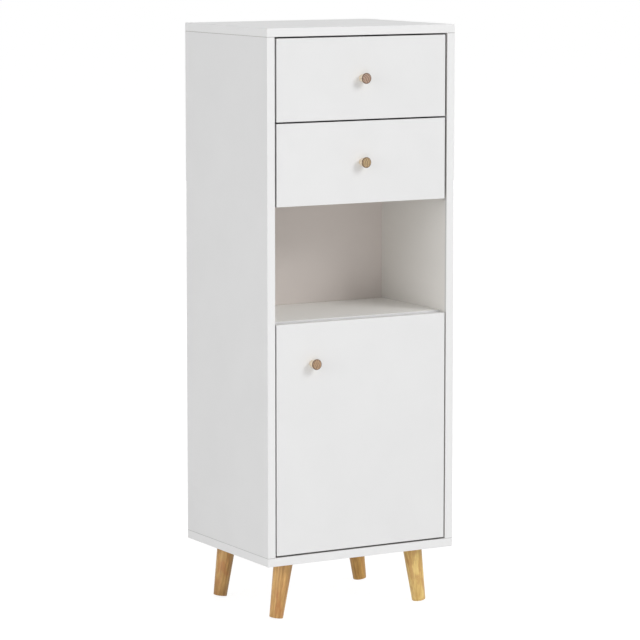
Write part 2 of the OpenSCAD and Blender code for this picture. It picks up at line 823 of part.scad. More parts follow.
module lower_drawer_screws() { drawer_screws(lower_front_z); }

// Door and its hinges. In the hinge modules the origin is on the pin
module at_hinges() {
    for (z = hinge_zs) translate([pin_x, pin_y, z]) children();
}

module hinge_plate_screw_places() {
    at_hinges() for (z = SIDES)
        aim([side_off - plate_t, plate_screw_y, z * plate_screw_z], RIGHT) children();
}

module cup_screw_places() {
    at_hinges() for (z = SIDES)
        aim([cup_screw_x, door_back + cup_flange_t, z * cup_screw_z], FRONT) children();
}

module door_panel() {
    color(white) difference() {
        box([door_left_x, face_y, door_z], [door_right_x, rear_face_y, door_top_z]);
        at_hinges() aim([cup_x, 0, 0], BACK)
            rod(cup_r + fit_gap, cup_floor - cup_wall - fit_gap, door_back + over);
        cup_screw_places() screw_hole(cup_screw);
        knob_hole(door_knob_x, door_knob_z);
    }
}

module door_knob() { knob(door_knob_x, door_knob_z); }
module door_knob_screw() { fitted_knob_screw(door_knob_x, door_knob_z); }

module cup_shell() {
    low_y = cup_floor - cup_wall;
    rear_y = door_back + cup_flange_t;
    aim([cup_x, 0, 0], BACK) rod(cup_r, low_y, rear_y);
    aim([cup_x, 0, 0], BACK) rod(cup_r + cup_rim, door_back, rear_y);
    box([cup_screw_x - cup_flange_w / 2, door_back, -cup_flange_h / 2],
        [cup_screw_x + cup_flange_w / 2, rear_y, cup_flange_h / 2]);
}

// A cup with the two cheeks that hold the pin
module hinge_cup() {
    bowl_r = cup_r - cup_wall;
    root_y = cup_floor - cup_wall / 2;
    cheek_reach = eye_r + cheek_margin;
    difference() {
        cup_shell();
        aim([cup_x, 0, 0], BACK) rod(bowl_r, cup_floor, door_back + cup_flange_t + over);
        for (z = SIDES)
            aim([cup_screw_x, door_back + cup_flange_t, z * cup_screw_z], FRONT) screw_hole(cup_screw);
    }
    difference() {
        intersection() {
            aim([cup_x, 0, 0], BACK) rod(bowl_r + cup_wall / 2, root_y, cheek_reach);
            for (z = SIDES) {
                low_z = z > 0 ? cheek_start : -cheek_start - cheek_t;
                box([-cheek_reach, root_y, low_z], [cup_r, cheek_reach, low_z + cheek_t]);
            }
        }
        rod(pin_r + fit_gap, -arm_w, arm_w);
    }
}

module hinge_cups() {
    color(steel) at_hinges() hinge_cup();
}

module hinge_pins() {
    pin_end = cheek_start + cheek_t;
    color(zinc) at_hinges() rod(pin_r, -pin_end, pin_end);
}

module hinge_cup_screws() {
    color(zinc) cup_screw_places() screw(cup_screw);
}

module hinge_arm() {
    difference() {
        union() {
            rod(eye_r, -arm_w / 2, arm_w / 2);
            translate([0, 0, -arm_w / 2]) linear_extrude(arm_w) polygon(strip(arm_path, arm_t));
        }
        rod(pin_r + running_gap, -arm_w, arm_w);
    }
}

module hinge_arms() {
    color(steel) at_hinges() hinge_arm();
}

module hinge_plates() {
    plate_x = side_off - plate_t;
    color(steel) difference() {
        at_hinges() {
            box([plate_x, plate_start, -plate_h / 2], [side_off, plate_start + plate_len, plate_h / 2]);
            box([plate_x - pedestal_h, plate_start + pedestal_inset, -pedestal_w / 2],
                [side_off, plate_start + plate_len - pedestal_inset, pedestal_w / 2]);
        }
        hinge_plate_screw_places() screw_hole(hinge_screw);
    }
}

module hinge_plate_screws() {
    color(zinc) hinge_plate_screw_places() screw(hinge_screw);
}

module door_buffers() {
    color(nylon) for (step = buffer_steps)
        aim([door_left_x + step, shelf_y, buffer_z], FRONT) rod(buffer_r, 0, door_clearance - free_gap);
}

top_panel();
bottom_panel();
left_side_panel();
right_side_panel();
niche_ceiling();
niche_floor();
niche_back();
back_panel();
cupboard_shelf();
shelf_pins();
cam_locks();
cam_bolts();
wood_dowels();
front_left_leg();
front_right_leg();
back_left_leg();
back_right_leg();
leg_plates();
leg_bolts();
leg_plate_screws();
cabinet_runners();
runner_screws();
hinge_plates();
hinge_arms();
hinge_plate_screws();
door_buffers();
door_panel();
door_knob();
door_knob_screw();
hinge_cups();
hinge_pins();
hinge_cup_screws();
upper_drawer_front();
upper_drawer_left_side();
upper_drawer_right_side();
upper_drawer_back();
upper_drawer_bottom();
upper_drawer_runners();
upper_drawer_knob();
upper_drawer_knob_screw();
upper_drawer_cams();
upper_drawer_bolts();
upper_drawer_screws();
upper_front_rollers();
upper_rear_rollers();
lower_drawer_front();
lower_drawer_left_side();
lower_drawer_right_side();
lower_drawer_back();
lower_drawer_bottom();
lower_drawer_runners();
lower_drawer_knob();
lower_drawer_knob_screw();
lower_drawer_cams();
lower_drawer_bolts();
lower_drawer_screws();
lower_front_rollers();
lower_rear_rollers();
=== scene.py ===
"""The highboard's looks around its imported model: softened edges, finishes, floor, light and camera.
All in metres."""
import math

import bpy
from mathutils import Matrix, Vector


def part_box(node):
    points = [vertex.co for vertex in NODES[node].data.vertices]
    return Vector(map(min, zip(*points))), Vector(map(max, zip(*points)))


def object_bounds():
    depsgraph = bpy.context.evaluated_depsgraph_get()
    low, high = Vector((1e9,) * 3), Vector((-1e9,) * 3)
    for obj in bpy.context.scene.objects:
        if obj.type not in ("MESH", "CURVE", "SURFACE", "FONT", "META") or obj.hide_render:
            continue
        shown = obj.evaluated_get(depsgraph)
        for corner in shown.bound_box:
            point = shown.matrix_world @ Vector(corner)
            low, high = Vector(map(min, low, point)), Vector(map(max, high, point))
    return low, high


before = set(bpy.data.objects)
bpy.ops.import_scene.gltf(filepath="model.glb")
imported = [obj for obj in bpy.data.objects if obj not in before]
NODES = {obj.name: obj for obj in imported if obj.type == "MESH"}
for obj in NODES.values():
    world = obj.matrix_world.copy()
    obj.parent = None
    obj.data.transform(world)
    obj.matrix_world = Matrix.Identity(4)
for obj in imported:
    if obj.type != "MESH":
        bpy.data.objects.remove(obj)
CAD_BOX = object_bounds()
MM = 0.001

# Construction of the boards
BAND = 0.8 * MM             # thickness of the edge banding
FOIL = 0.25 * MM            # thickness of the white decor paper on a board's two faces
GLUE_LINE = 0.12 * MM       # width of the line between an edge band and the face
GLUE_SHOWS = 0.6            # how strongly that line shows, from 0 to 1
SEAM = 1.0 * MM             # width of the darker line along the joints between the shell's boards
SEAM_SHOWS = 0.6            # how strongly that one shows
STRIP = 5.0 * MM            # the strip of painted shade beside the niche's front edges reaches this deep

# Rounding of sharp edges
BOARD_EDGE = 0.6 * MM       # width of the rounding of the boards' edges
WOOD_EDGE = 0.8 * MM        # the same on turned wood
ROUNDING_STEPS = 3
WELD_GAP = 0.002 * MM       # points nearer than this are one point
FLAT_ANGLE = math.radians(0.5)      # faces that meet at less than this are one face
SHARP_ANGLE = math.radians(50)      # edges sharper than this are rounded where not only the box's edges are
ON_FACE = 0.01 * MM         # an edge nearer than this to a face of the box lies on it

# Where the insides and the gaps between the fronts and the body are
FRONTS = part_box("door_panel")
SLOT_LIP = 0.7 * MM         # a slot's walls begin this far behind the fronts' faces
SLOT_END = 0.1 * MM         # and end this far before the fronts' backs
NICHE_MARGIN = 1 * MM       # the niche begins and ends this far below the fronts' edges
ROOM_MARGIN = 0.5 * MM      # the room inside the body reaches this far into its walls
NICHE = (FRONTS[1].z - NICHE_MARGIN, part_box("lower_drawer_front")[0].z - NICHE_MARGIN)
ROOM_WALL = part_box("niche_floor")[1].x + ROOM_MARGIN
ROOM_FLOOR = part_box("bottom_panel")[1].z - ROOM_MARGIN
ROOM_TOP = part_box("top_panel")[0].z + ROOM_MARGIN
ROOM = (Vector((-ROOM_WALL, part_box("top_panel")[0].y + BAND, ROOM_FLOOR)),
        Vector((ROOM_WALL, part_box("top_panel")[1].y, ROOM_TOP)))
NICHE_PAINTED_SHADE_STRIP = (Vector((-ROOM_WALL, ROOM[0].y, NICHE[0])),
               Vector((ROOM_WALL, ROOM[0].y + STRIP, NICHE[1])))

# Colours, as sRGB values from 0 to 255
# painted shade: the colour that the walls of the slots round the fronts take for bounced light
SLOT_PAINTED_SHADE = (40, 38, 36)
WHITE = (235, 235, 235)
BAND_WHITE = (239, 239, 239)
GLUE = (206, 204, 200)
INNER_WHITE = (234, 232, 228)
# painted shade: the niche's back is a darker, warmer white than the other boards, for the shade in the
# niche
NICHE_PAINTED_SHADE_WHITE = (224, 216, 211)
# painted light: the niche's floor is a lighter white than the other boards, as if more light fell on it
NICHE_FLOOR_PAINTED_LIGHT = (247, 246, 243)
STRIP_PAINTED_SHADE = (214, 213, 212)
SEAM_GREY = (150, 149, 147)
CHIP_LIGHT = (205, 178, 138)
CHIP_DARK = (146, 112, 74)
FIBRE_LIGHT = (196, 164, 124)
FIBRE_DARK = (138, 104, 70)


def linear(colour):
    """An sRGB colour as the linear value that a shader takes, by the curve of the sRGB standard"""
    return tuple(((c / 255 + 0.055) / 1.055) ** 2.4 for c in colour) + (1.0,)


class Finish:
    """A material: one Principled shader, and short calls for the nodes that feed it"""

    def __init__(self, name, **settings):
        self.material = bpy.data.materials.new(name)
        self.material.use_nodes = True
        self.tree = self.material.node_tree
        self.shader = self.tree.nodes["Principled BSDF"]
        self.place = self.add("TexCoord").outputs["Object"]
        for socket, value in settings.items():
            self.feed(self.shader.inputs[socket.replace("_", " ").title().replace("Ior", "IOR")], value)

    def feed(self, socket, value):
        """Links a node's output to a socket, or sets the socket's own value"""
        if isinstance(value, bpy.types.NodeSocket):
            self.tree.links.new(value, socket)
        else:
            socket.default_value = value

    def add(self, kind, *inputs, **settings):
        """A new node, with values or links for its first inputs"""
        node = self.tree.nodes.new("ShaderNode" + kind)
        for name, value in settings.items():
            setattr(node, name, value)
        for socket, value in zip(node.inputs, inputs):
            if value is not None:
                self.feed(socket, value)
        return node

    def math(self, operation, a, b=0.0, clamp=False):
        return self.add("Math", a, b, operation=operation, use_clamp=clamp).outputs[0]

    def total(self, *parts, clamp=False):
        """The sum of values, each times its weight"""
        (value, weight), *others = parts
        result = self.math("MULTIPLY", value, weight)
        for number, (value, weight) in enumerate(others, 2):
            share = self.math("MULTIPLY", value, weight)
            result = self.math("ADD", result, share, clamp=clamp and number == len(parts))
        return result

    def distance(self, a, b):
        """How far a point is from an axis, from its distances along two other axes"""
        squares = self.math("ADD", self.math("MULTIPLY", a, a), self.math("MULTIPLY", b, b))
        return self.math("SQRT", squares)

    def waves(self, distance, length):
        """A wave from -1 to 1 that repeats after a length"""
        return self.math("SINE", self.math("MULTIPLY", distance, 2 * math.pi / length))

    def split(self, vector):
        return self.add("SeparateXYZ", vector).outputs

    def stretched(self, vector, scale):
        return self.add("VectorMath", vector, scale, operation="MULTIPLY").outputs[0]

    def noise(self, vector, size, detail=2.0, roughness=0.5):
        """Noise from 0 to 1 whose largest lumps are about size across"""
        node = self.add("TexNoise", normalize=True)
        given = {"Vector": vector, "Scale": 1 / size, "Detail": detail, "Roughness": roughness}
        for name, value in given.items():
            self.feed(node.inputs[name], value)
        return node.outputs["Fac"]

    def steps(self, value, low, high):
        """0 below low, 1 above high, smooth between them"""
        node = self.add("MapRange", value, low, high, 0.0, 1.0, interpolation_type="SMOOTHSTEP")
        return node.outputs["Result"]

    def between(self, value, low, high):
        """A value from 0 to 1, spread from low to high"""
        return self.add("MapRange", value, 0.0, 1.0, low, high).outputs["Result"]

    def mix(self, factor, a, b):
        """a where the factor is 0, and b where it is 1"""
        node = self.add("Mix", data_type="RGBA")
        for socket, value in ((node.inputs[0], factor), (node.inputs[6], a), (node.inputs[7], b)):
            self.feed(socket, value)
        return node.outputs[2]

    def bump(self, height, distance):
        """A relief whose height from 0 to 1 stands for a distance"""
        node = self.add("Bump", 1.0, distance)
        self.feed(node.inputs["Height"], height)
        return node.outputs["Normal"]

    def set(self, name, value):
        """Feeds one of the shader's own sockets"""
        self.feed(self.shader.inputs[name], value)


def dress(node, finish):
    """Gives a node one finish in all its material slots"""
    obj = NODES[node]
    obj.data.materials.clear()
    obj.data.materials.append(finish.material)


def new_group(name):
    """An empty node group that takes a mesh and the two corners of a box, and gives back a mesh"""
    group = bpy.data.node_groups.new(name, "GeometryNodeTree")
    group.interface.new_socket("Geometry", in_out="INPUT", socket_type="NodeSocketGeometry")
    group.interface.new_socket("Low", in_out="INPUT", socket_type="NodeSocketVector")
    group.interface.new_socket("High", in_out="INPUT", socket_type="NodeSocketVector")
    group.interface.new_socket("Geometry", in_out="OUTPUT", socket_type="NodeSocketGeometry")
    return group


def box_edge_marker():
    """Marks, for the bevel, the edges that lie on the edges of the box"""
    group = new_group("box_edges")
    nodes, links = group.nodes, group.links

    def math(operation, a, b):
        node = nodes.new("ShaderNodeMath")
        node.operation = operation
        for socket, value in zip(node.inputs, (a, b)):
            if isinstance(value, bpy.types.NodeSocket):
                links.new(value, socket)
            else:
                socket.default_value = value
        return node.outputs[0]

    def split(vector):
        node = nodes.new("ShaderNodeSeparateXYZ")
        links.new(vector, node.inputs[0])
        return node.outputs

    given = nodes.new("NodeGroupInput").outputs
    middle = split(nodes.new("GeometryNodeInputPosition").outputs[0])
    low, high = split(given["Low"]), split(given["High"])
    on_faces = 0.0
    on_two_faces = 1.5
    for axis in range(3):
        for limit in (low, high):
            away = math("ABSOLUTE", math("SUBTRACT", middle[axis], limit[axis]), 0.0)
            on_faces = math("ADD", on_faces, math("LESS_THAN", away, ON_FACE))
    store = nodes.new("GeometryNodeStoreNamedAttribute")
    store.data_type = "FLOAT"
    store.domain = "EDGE"
    links.new(given["Geometry"], store.inputs["Geometry"])
    store.inputs["Name"].default_value = "bevel_weight_edge"
    links.new(math("GREATER_THAN", on_faces, on_two_faces), store.inputs["Value"])
    links.new(store.outputs[0], nodes.new("NodeGroupOutput").inputs[0])
    return group


def box_keeper():
    """Brings back any point that a bevel put outside the box"""
    group = new_group("keep_in_box")
    nodes, links = group.nodes, group.links
    given = nodes.new("NodeGroupInput").outputs
    point = nodes.new("GeometryNodeInputPosition").outputs[0]
    for operation, corner in (("MAXIMUM", "Low"), ("MINIMUM", "High")):
        limit = nodes.new("ShaderNodeVectorMath")
        limit.operation = operation
        links.new(point, limit.inputs[0])
        links.new(given[corner], limit.inputs[1])
        point = limit.outputs[0]
    move = nodes.new("GeometryNodeSetPosition")
    links.new(given["Geometry"], move.inputs["Geometry"])
    links.new(point, move.inputs["Position"])
    links.new(move.outputs[0], nodes.new("NodeGroupOutput").inputs[0])
    return group


def box_modifier(node, group):
    """Runs one of the two groups on a node, with the corners of the node's own box"""
    modifier = NODES[node].modifiers.new(group.name, "NODES")
    modifier.node_group = group
    corners = dict(zip(("Low", "High"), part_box(node)))
    for item in group.interface.items_tree:
        if item.in_out == "INPUT" and item.name in corners:
            modifier[item.identifier] = corners[item.name]


BOX_EDGES = box_edge_marker()
IN_BOX = box_keeper()


def soften(node, width, box_only=True):
    """Rounds sharp edges of a node with modifiers, so that they catch the light: its box's edges, or all"""
    obj = NODES[node]
    weld = obj.modifiers.new("weld", "WELD")
    weld.merge_threshold = WELD_GAP
    flat = obj.modifiers.new("flat", "DECIMATE")
    flat.decimate_type = "DISSOLVE"
    flat.angle_limit = FLAT_ANGLE
    if box_only:
        box_modifier(node, BOX_EDGES)
    bevel = obj.modifiers.new("bevel", "BEVEL")
    bevel.width = width
    bevel.segments = ROUNDING_STEPS
    bevel.limit_method = "WEIGHT" if box_only else "ANGLE"
    bevel.angle_limit = SHARP_ANGLE
    bevel.use_clamp_overlap = False
    bevel.harden_normals = True
    if box_only:
        box_modifier(node, IN_BOX)


# Boards: sizes, reliefs and roughnesses of what their surfaces show
CHIP = 1.8 * MM             # a chip of the particle board
CHIP_GRAIN = 0.6 * MM
CHIP_RELIEF = 0.12 * MM
CLOUD = 90 * MM             # slight clouds in the white print
SPECK = 0.9 * MM            # and its specks
PRINT_DARKER = 5            # how much darker and lighter than its white the print gets, in sRGB levels
PRINT_LIGHTER = 4
PEARL = 1.6 * MM            # pearls of the satin skin
PEARL_RELIEF = 0.12         # their height as a part of the chips' height
PEARL_ROUGHNESS = (0.40, 0.52)
CHIP_ROUGHNESS = 0.85
FIBRE = 1.4 * MM            # hardboard: its fibres, flecks and clouds
FLECK = 7 * MM
FIBRE_CLOUD = 110 * MM
FIBRE_RELIEF = 0.05 * MM
FIBRE_ROUGHNESS = 0.8
HARDBOARD_WHITE_ROUGHNESS = 0.5


def chipboard(f):
    """Colour and height of raw particle board"""
    cells = f.add("TexVoronoi", f.place)
    f.feed(cells.inputs["Scale"], 1 / CHIP)
    chip = f.split(cells.outputs["Color"])[0]
    shade = f.total((chip, 0.6), (f.noise(f.place, CHIP_GRAIN, detail=3.0), 0.4))
    return f.mix(shade, linear(CHIP_DARK), linear(CHIP_LIGHT)), shade


def inset(f, node, axis, at_high):
    """How deep a point lies under one face of the node's box, in metres"""
    low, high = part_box(node)
    here = f.split(f.place)[axis]
    if at_high:
        return f.math("SUBTRACT", high[axis], here)
    return f.math("SUBTRACT", here, low[axis])


def within(f, low, high):
    """1 inside the box between two corners, where None leaves a side open"""
    inside = 1.0
    for here, least, most in zip(f.split(f.place), low, high):
        if least is not None:
            inside = f.math("MULTIPLY", inside, f.math("GREATER_THAN", here, least))
        if most is not None:
            inside = f.math("MULTIPLY", inside, f.math("LESS_THAN", here, most))
    return inside


def in_slot(f):
    """1 on the walls of the narrow slots round the fronts, where shade is painted for bounced light"""
    low = (ROOM[0].x, FRONTS[0].y + SLOT_LIP, ROOM[0].z)
    high = (ROOM[1].x, FRONTS[1].y - SLOT_END, ROOM[1].z)
    in_niche = within(f, (None, None, NICHE[0]), (None, None, NICHE[1]))
    return f.math("SUBTRACT", within(f, low, high), in_niche, clamp=True)


def on_seam(f):
    """1 along the joints between the side panels and the panels above and below them, outside the room"""
    x, y, z = f.split(f.place)
    line = 0.0
    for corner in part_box("left_side_panel"):
        near = f.add("Math", z, corner.z, SEAM / 2, operation="COMPARE").outputs[0]
        line = f.math("MAXIMUM", line, near)
    return f.math("MULTIPLY", line, f.math("GREATER_THAN", f.math("ABSOLUTE", x), ROOM_WALL))


def board_finish(node, across, banded, white):
    """White decor on the two faces, bands on the named edges, and particle board where the core is open.
    across is the axis through the board, and banded lists edges as (axis, at its high end)."""
    f = Finish(node + "_finish", specular_ior_level=0.3)
    core, chips = chipboard(f)
    depth = f.math("MINIMUM", inset(f, node, across, False), inset(f, node, across, True))
    covered = f.math("LESS_THAN", depth, FOIL)
    band = 0.0
    glue = 0.0
    for axis, at_high in banded:
        behind = inset(f, node, axis, at_high)
        band = f.math("MAXIMUM", band, f.math("LESS_THAN", behind, BAND))
        line = f.add("Math", behind, BAND, GLUE_LINE / 2, operation="COMPARE").outputs[0]
        glue = f.math("MAXIMUM", glue, line)
    tint = f.total((f.noise(f.place, CLOUD), 0.6), (f.noise(f.place, SPECK), 0.4))
    face = decor(f, tint, white)
    if node in SHELL:
        face = f.mix(within(f, ROOM[0], ROOM[1]), face, decor(f, tint, INNER_WHITE))
        # painted shade: a grey strip on the inner faces just behind the niche's front edges
        face = f.mix(within(f, *NICHE_PAINTED_SHADE_STRIP), face, linear(STRIP_PAINTED_SHADE))
    if banded:
        face = f.mix(f.math("MULTIPLY", glue, GLUE_SHOWS), face, linear(GLUE))
        face = f.mix(band, face, linear(BAND_WHITE))
        covered = f.math("MAXIMUM", covered, band)
    if node in SHELL:
        face = f.mix(f.math("MULTIPLY", on_seam(f), SEAM_SHOWS), face, linear(SEAM_GREY))
    face = f.mix(covered, core, face)
    # Painted shade: for light that has bounced once the slots' walls turn dark, so that light dies in the
    # slots and they show as thin dark lines
    bounced = f.add("LightPath").outputs["Is Diffuse Ray"]
    f.set("Base Color", f.mix(f.math("MULTIPLY", in_slot(f), bounced), face, linear(SLOT_PAINTED_SHADE)))
    pearl = f.noise(f.place, PEARL, detail=1.0)
    f.set("Roughness", f.between(covered, CHIP_ROUGHNESS, f.between(pearl, *PEARL_ROUGHNESS)))
    height = f.mix(covered, chips, f.math("MULTIPLY", pearl, PEARL_RELIEF))
    f.set("Normal", f.bump(height, CHIP_RELIEF))
    return f


def decor(f, tint, white):
    """A printed white that varies very slightly"""
    darker = linear(c - PRINT_DARKER for c in white)
    lighter = linear(c + PRINT_LIGHTER for c in white)
    return f.mix(tint, darker, lighter)


X, Y, Z = 0, 1, 2
FRONT_EDGE = [(Y, False)]
ALL_ROUND = [(X, False), (X, True), (Z, False), (Z, True)]
BOARDS = {
    "top_panel": (Z, FRONT_EDGE + [(X, False), (X, True)], WHITE),
    "bottom_panel": (Z, FRONT_EDGE + [(X, False), (X, True)], WHITE),
    "left_side_panel": (X, FRONT_EDGE, WHITE),
    "right_side_panel": (X, FRONT_EDGE, WHITE),
    "niche_ceiling": (Z, FRONT_EDGE, INNER_WHITE),
    "niche_floor": (Z, FRONT_EDGE, NICHE_FLOOR_PAINTED_LIGHT),
    "niche_back": (Y, [], NICHE_PAINTED_SHADE_WHITE),
    "cupboard_shelf": (Z, FRONT_EDGE + [(Y, True)], INNER_WHITE),
    "door_panel": (Y, ALL_ROUND, WHITE),
}
SHELL = ["top_panel", "bottom_panel", "left_side_panel", "right_side_panel"]
for drawer in ("upper", "lower"):
    BOARDS[drawer + "_drawer_front"] = (Y, ALL_ROUND, WHITE)
    BOARDS[drawer + "_drawer_left_side"] = (X, [(Z, True)], INNER_WHITE)
    BOARDS[drawer + "_drawer_right_side"] = (X, [(Z, True)], INNER_WHITE)
    BOARDS[drawer + "_drawer_back"] = (Y, [(Z, True)], INNER_WHITE)

for name, (across, banded, white) in BOARDS.items():
    dress(name, board_finish(name, across, banded, white))
    soften(name, BOARD_EDGE)


def hardboard(node, axis, white_at_high):
    """A thin fibreboard: one white face, and bare brown fibre on the other face and the edges"""
    f = Finish(node + "_finish", specular_ior_level=0.4)
    covered = f.math("LESS_THAN", inset(f, node, axis, white_at_high), FOIL)
    fibre = f.noise(f.place, FIBRE, detail=4.0, roughness=0.65)
    fleck = f.steps(f.noise(f.place, FLECK, detail=4.0, roughness=0.7), 0.35, 0.70)
    cloud = f.steps(f.noise(f.place, FIBRE_CLOUD, detail=3.0, roughness=0.6), 0.30, 0.70)
    tone = f.total((fibre, 0.40), (fleck, 0.30), (cloud, 0.30))
    brown = f.mix(tone, linear(FIBRE_DARK), linear(FIBRE_LIGHT))
    f.set("Base Color", f.mix(covered, brown, linear(WHITE)))
    f.set("Roughness", f.between(covered, FIBRE_ROUGHNESS, HARDBOARD_WHITE_ROUGHNESS))
    f.set("Normal", f.bump(fibre, FIBRE_RELIEF))
    return f


dress("back_panel", hardboard("back_panel", Y, False))
for drawer in ("upper", "lower"):
    dress(drawer + "_drawer_bottom", hardboard(drawer + "_drawer_bottom", Z, True))


# Legs
LEG_TONES_WITH_PAINTED_LIGHT = {               # the dark and the light tone of each leg: their hues differ as timber does, and the front right leg is lighter and the back legs darker as painted light and shade
    "front_left_leg": ((160, 110, 54), (236, 190, 120)),
    "front_right_leg": ((194, 144, 71), (254, 224, 145)),
    "back_left_leg": ((148, 104, 49), (218, 173, 106)),
    "back_right_leg": ((144, 99, 43), (224, 175, 97)),
}
LEG_HEART = (182, 112, 64)  # the redder patches
LEG_END = 6 * MM            # a leg's end faces lie within this height of its lowest and highest point
LEG_CUT = (0.31, 0.17, 0.43)        # how far apart in the timber the legs were cut, along three axes
GRAIN_TILT = (math.radians(2.0), math.radians(-1.5))    # how far the grain leans away from the leg
GRAIN_TURN = 50             # how far the rings of the first leg are turned, in degrees
GRAIN_TURN_STEP = 67        # and how much further those of each next leg
RING = 7.0 * MM             # distance between two growth rings
RING_WANDER = 12 * MM       # how far a ring strays from a flat sheet
WANDER_SIZE = 16 * MM       # and over what distance it does so
STREAK = 2.6 * MM           # streaks and pores along the grain
PORE = 0.45 * MM
LEG_CLOUD = 20 * MM         # slow changes of tone, and the redder patches
PATCH = 11 * MM
PATCH_SHOWS = 0.45
PORES_SHOW = 0.3
PORE_SHADE = 0.6            # a pore's colour as a part of the dark tone
LEG_RELIEF = 0.05 * MM


def leg_ends(node):
    """The middle of a leg's foot and of its top"""
    low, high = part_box(node)
    points = [v.co for v in NODES[node].data.vertices]
    feet = [p for p in points if p.z < low.z + LEG_END]
    tops = [p for p in points if p.z > high.z - LEG_END]
    return [sum(group, Vector()) / len(group) for group in (feet, tops)]


def leg_finish(node, number):
    """Turned oak: grain along the leg, growth rings as leaning sheets, fine open pores, satin lacquer"""
    foot, top = leg_ends(node)
    lean = math.atan2(top.x - foot.x, top.z - foot.z)
    f = Finish(node + "_finish", specular_ior_level=0.5)
    local = f.add("Mapping", f.place, tuple(foot), (0.0, lean, 0.0), vector_type="TEXTURE").outputs[0]
    turned = f.add("Mapping", local, tuple(cut * number for cut in LEG_CUT),
                   (*GRAIN_TILT, math.radians(GRAIN_TURN + GRAIN_TURN_STEP * number))).outputs[0]

    def along(squeeze, size, *settings):
        """Noise drawn out along the leg: with a squeeze of 0.1 its lumps are ten times as long as wide"""
        return f.noise(f.stretched(turned, (1.0, 1.0, squeeze)), size, *settings)

    wander = f.math("MULTIPLY", along(0.14, WANDER_SIZE, 2.0), RING_WANDER)
    sheets = f.math("ADD", f.split(turned)[X], wander)
    late = f.steps(f.waves(sheets, RING), -0.8, 1.0)
    streak = along(0.045, STREAK, 3.0, 0.55)
    pores = f.steps(along(0.05, PORE, 2.0, 0.7), 0.58, 0.70)
    cloud = f.steps(along(0.25, LEG_CLOUD, 1.0), 0.35, 0.65)
    patch = f.steps(along(0.4, PATCH, 2.0, 0.5), 0.46, 0.68)
    tone = f.total((late, 0.24), (f.steps(streak, 0.25, 0.75), 0.38), (cloud, 0.32), clamp=True)
    # each leg's tones hold painted light and shade: lighter on the front right leg, darker on the back legs
    dark, light = LEG_TONES_WITH_PAINTED_LIGHT[node]
    wood = f.mix(tone, linear(light), linear(dark))
    wood = f.mix(f.math("MULTIPLY", patch, PATCH_SHOWS), wood, linear(LEG_HEART))
    pore = tuple(c * PORE_SHADE for c in dark)
    f.set("Base Color", f.mix(f.math("MULTIPLY", pores, PORES_SHOW), wood, linear(pore)))
    f.set("Roughness", f.between(streak, 0.36, 0.50))
    f.set("Normal", f.bump(f.math("SUBTRACT", streak, pores), LEG_RELIEF))
    return f


for number, leg in enumerate(LEG_TONES_WITH_PAINTED_LIGHT):
    dress(leg, leg_finish(leg, number))
    soften(leg, WOOD_EDGE, box_only=False)


# Knobs
KNOB_TONES = {              # the dark and the light tone of each knob's face
    "upper_drawer_knob": ((112, 84, 70), (196, 166, 144)),
    "lower_drawer_knob": ((116, 92, 60), (204, 176, 134)),
    "door_knob": ((114, 86, 62), (204, 170, 136)),
}
KNOB_SIDE = (238, 224, 202)
KNOB_SIDE_DARK = (208, 186, 154)
KNOB_RIM_PAINTED_SHADE = (96, 74, 58)
RIM = (2.2 * MM, 0.9 * MM)          # painted shade darkens the face's rim between these distances to its edge
RIM_SHOWS = 0.8
SIDE = (1.2 * MM, 1.6 * MM)         # the side's lighter tone sets in between these depths behind the face
PITH = (12 * MM, 9 * MM)            # how far the tree's middle lies left of and below the first knob's
PITH_STEP = (4 * MM, -6 * MM)       # and how much further for each next knob
KNOB_RING = 4.0 * MM        # distance between two growth rings, how far they stray, and over what distance
KNOB_WANDER = 7 * MM
KNOB_WANDER_SIZE = 9 * MM
KNOB_GRAIN = 0.5 * MM
KNOB_RELIEF = 0.04 * MM


def knob_finish(node, number):
    """Turned wood with its end grain on the face: fine arcs of growth rings, and painted shade that darkens
    the face's rim
    """
    low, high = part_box(node)
    middle = (low + high) / 2
    radius = (high.x - low.x) / 2
    f = Finish(node + "_finish", specular_ior_level=0.5)
    local = f.add("Mapping", f.place, (middle.x, low.y, middle.z), vector_type="TEXTURE").outputs[0]
    x, y, z = f.split(local)
    wander = f.noise(f.stretched(local, (1.0, 0.1, 1.0)), KNOB_WANDER_SIZE)
    pith_x, pith_z = (start + step * number for start, step in zip(PITH, PITH_STEP))
    reach = f.distance(f.math("ADD", x, pith_x), f.math("ADD", z, pith_z))
    reach = f.math("ADD", reach, f.math("MULTIPLY", wander, KNOB_WANDER))
    rings = f.steps(f.waves(reach, KNOB_RING), -0.7, 0.9)
    fine = f.noise(f.stretched(local, (1.0, 0.05, 1.0)), KNOB_GRAIN, detail=3.0, roughness=0.65)
    tone = f.total((rings, 0.55), (f.steps(fine, 0.3, 0.7), 0.45))
    dark, light = KNOB_TONES[node]
    face = f.mix(tone, linear(light), linear(dark))
    side = f.mix(tone, linear(KNOB_SIDE), linear(KNOB_SIDE_DARK))
    # painted shade round the edge of the face
    rim_shade = f.steps(f.distance(x, z), radius - RIM[0], radius - RIM[1])
    face = f.mix(f.math("MULTIPLY", rim_shade, RIM_SHOWS), face, linear(KNOB_RIM_PAINTED_SHADE))
    f.set("Base Color", f.mix(f.steps(y, *SIDE), face, side))
    f.set("Roughness", f.between(fine, 0.38, 0.5))
    f.set("Normal", f.bump(fine, KNOB_RELIEF))
    return f


for number, knob in enumerate(KNOB_TONES):
    dress(knob, knob_finish(knob, number))


# Dowels
BEECH_LIGHT = (226, 196, 150)
BEECH_DARK = (192, 156, 110)
BEECH_GRAIN = 1.2 * MM
BEECH_RELIEF = 0.05 * MM


